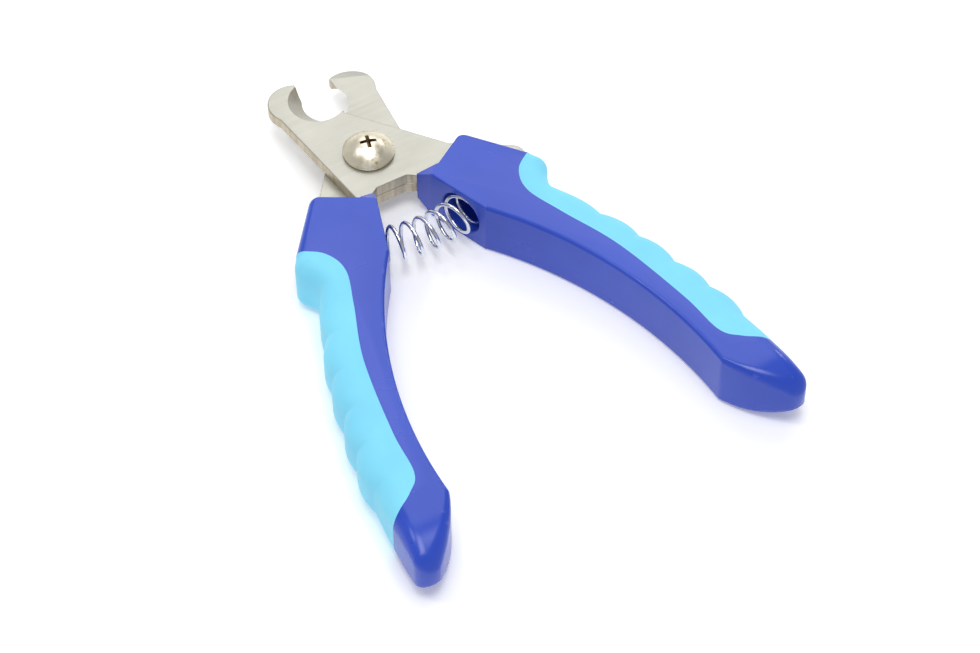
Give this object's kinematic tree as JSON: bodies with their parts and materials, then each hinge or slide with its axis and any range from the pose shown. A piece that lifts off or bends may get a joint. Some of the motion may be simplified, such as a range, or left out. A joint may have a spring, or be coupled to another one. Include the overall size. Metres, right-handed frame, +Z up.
{
  "type": "pet nail trimmer",
  "caption": "Plier-style pet nail trimmer with hooked blades on a domed pivot screw, cushioned handles, a return spring and a swinging stop guard",
  "frame": {"origin": "centre of the overall box, on the surface that the closed side of both handles rests on", "axes": "+Z up and along the pivot axis, +Y from the handles to the jaws, +X to the side of the handle that carries the upper blade"},
  "size_m": [0.1024, 0.1446, 0.015],
  "materials": {
    "blade_steel": "fine ground and satin stainless steel",
    "handle_plastic": "smooth deep blue moulding with a soft sheen",
    "grip_rubber": "matte light blue soft moulding",
    "screw_plate": "polished warm nickel plate",
    "hardware_steel": "zinc plated steel",
    "guard_steel": "satin stamped stainless sheet",
    "spring_wire": "bright plated spring wire"
  },
  "bodies": {
    "left_side": {"left_handle": "handle_plastic", "left_grip": "grip_rubber", "lower_blade": "blade_steel", "pivot_screw": "screw_plate", "guard_spacer": "hardware_steel", "spring_washer": "hardware_steel", "pivot_nut": "hardware_steel", "return_spring": "spring_wire"},
    "right_side": {"right_handle": "handle_plastic", "right_grip": "grip_rubber", "upper_blade": "blade_steel"},
    "guard": {"stop_guard": "guard_steel"}
  },
  "joints": [
    {"name": "handle_pivot", "type": "hinge", "parent": "left_side", "child": "right_side", "pos_m": [0, 0.0423, 0.0075], "axis": [0, 0, 1], "range_deg": [-30, 0], "stiffness_Nm_per_rad": 0.5, "springref_deg": 17.19, "deforming": ["return_spring"]},
    {"name": "guard_pivot", "type": "hinge", "parent": "left_side", "child": "guard", "pos_m": [0, 0.0423, 0.0031], "axis": [0, 0, 1], "range_deg": [0, 24]}
  ]
}
